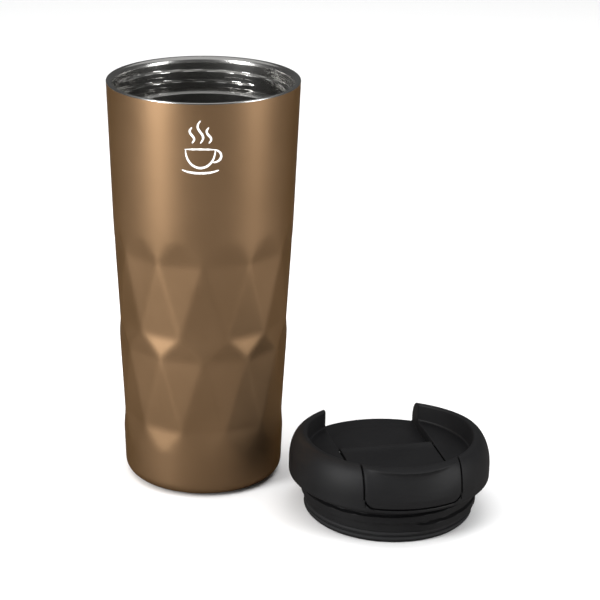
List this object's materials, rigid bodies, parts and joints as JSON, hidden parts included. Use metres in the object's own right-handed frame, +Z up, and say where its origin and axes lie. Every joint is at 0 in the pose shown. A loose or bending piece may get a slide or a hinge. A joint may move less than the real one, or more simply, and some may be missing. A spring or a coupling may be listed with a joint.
{
  "type": "insulated travel tumbler",
  "caption": "Tapered double-wall steel tumbler with a faceted body, and a black screw lid with a fold-back drinking flap standing beside it.",
  "frame": {"origin": "centre of the foot pad's underside, on the table", "axes": "+Z up along the tumbler's axis; -Y is the side that the lid's thumb tab faces; the lid stands towards +X and -Y"},
  "size_m": [0.1531, 0.137, 0.177],
  "materials": {
    "bronze_paint": "satin metallic",
    "steel": "polished and brushed",
    "lid_plastic": "fine satin grain",
    "silicone": "matte",
    "copper_foil": "bright foil",
    "getter_alloy": "sintered"
  },
  "bodies": {
    "tumbler": {"outer_shell": "bronze_paint", "outer_base": "steel", "foot_pad": "silicone", "vacuum_seal": "steel", "getter": "getter_alloy", "getter_cup": "steel", "foil_shield": "copper_foil", "inner_liner": "steel", "liner_floor": "steel"},
    "lid": {"lid_collar": "lid_plastic", "lid_plug": "lid_plastic", "plug_cover": "lid_plastic", "rim_gasket": "silicone", "plug_gasket": "silicone", "hinge_pin": "steel"},
    "flap": {"flap": "lid_plastic", "spout_stopper": "silicone", "vent_stopper": "silicone"}
  },
  "joints": [
    {"name": "lid_lift", "type": "slide", "parent": "tumbler", "child": "lid", "axis": [0, 0, 1], "range_m": [0, 0.25]},
    {"name": "flap_hinge", "type": "hinge", "parent": "lid", "child": "flap", "pos_m": [0.07008, -0.04917, 0.0236], "axis": [-1, 0, 0], "range_deg": [0, 180]}
  ]
}
